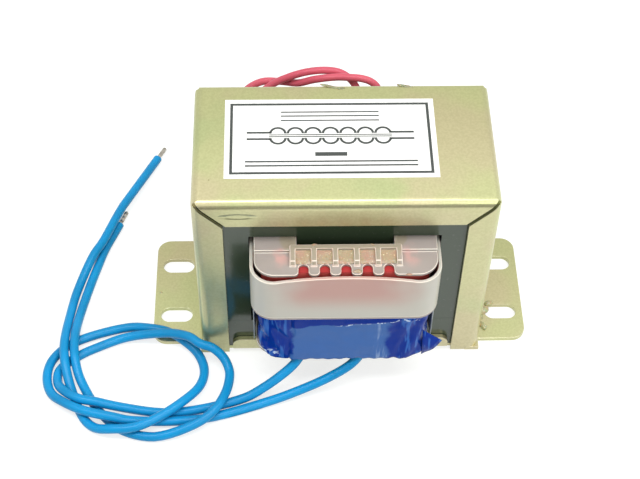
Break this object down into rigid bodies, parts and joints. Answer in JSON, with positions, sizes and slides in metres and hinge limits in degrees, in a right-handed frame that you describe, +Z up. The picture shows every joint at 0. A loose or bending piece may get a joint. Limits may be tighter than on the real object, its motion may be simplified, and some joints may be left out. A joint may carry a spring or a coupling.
{
  "type": "chassis transformer",
  "caption": "Laminated-core mains transformer clamped in a folded steel channel on slotted feet, with a two-section comb bobbin and loose insulated leads.",
  "frame": {"origin": "on the mounting surface, under the middle of the core", "axes": "+X along the feet, to the right seen from the front; +Y from the front with the secondary leads to the rear; +Z up, away from the mounting surface"},
  "size_m": [0.1566, 0.1318, 0.0755],
  "materials": {
    "passivated_steel": "zinc plated and yellow passivated, satin",
    "core_steel": "varnished silicon steel sheet",
    "bobbin_plastic": "moulded nylon, slightly translucent",
    "cover_plastic": "moulded nylon, slightly translucent",
    "adhesive": "set resin",
    "enamelled_wire": "enamelled copper wire",
    "red_tape": "polyester film tape",
    "blue_tape": "polyester film tape",
    "film": "polyester film",
    "label_paper": "coated paper",
    "blue_insulation": "PVC insulation",
    "red_insulation": "PVC insulation",
    "tinned_copper": "tinned strands",
    "tie_plastic": "plastic-covered tie"
  },
  "bodies": {
    "root": {"base_plate": "passivated_steel", "clamp_channel": "passivated_steel", "front_e_sheet": "core_steel", "front_i_sheet": "core_steel", "e_sheets": "core_steel", "i_sheets": "core_steel", "rear_e_sheet": "core_steel", "rear_i_sheet": "core_steel", "bobbin": "bobbin_plastic", "front_cover": "cover_plastic", "rear_cover": "cover_plastic", "comb_adhesive": "adhesive", "primary_winding": "enamelled_wire", "primary_tape": "red_tape", "secondary_winding": "enamelled_wire", "secondary_tape": "blue_tape", "side_films": "film", "label": "label_paper", "blue_lead_long": "blue_insulation", "blue_lead_short": "blue_insulation", "blue_lead_ends": "tinned_copper", "red_lead_near": "red_insulation", "red_lead_far": "red_insulation", "red_lead_coil": "red_insulation", "red_lead_tails": "red_insulation", "red_lead_ends": "tinned_copper", "coil_tie": "tie_plastic"}
  },
  "joints": []
}
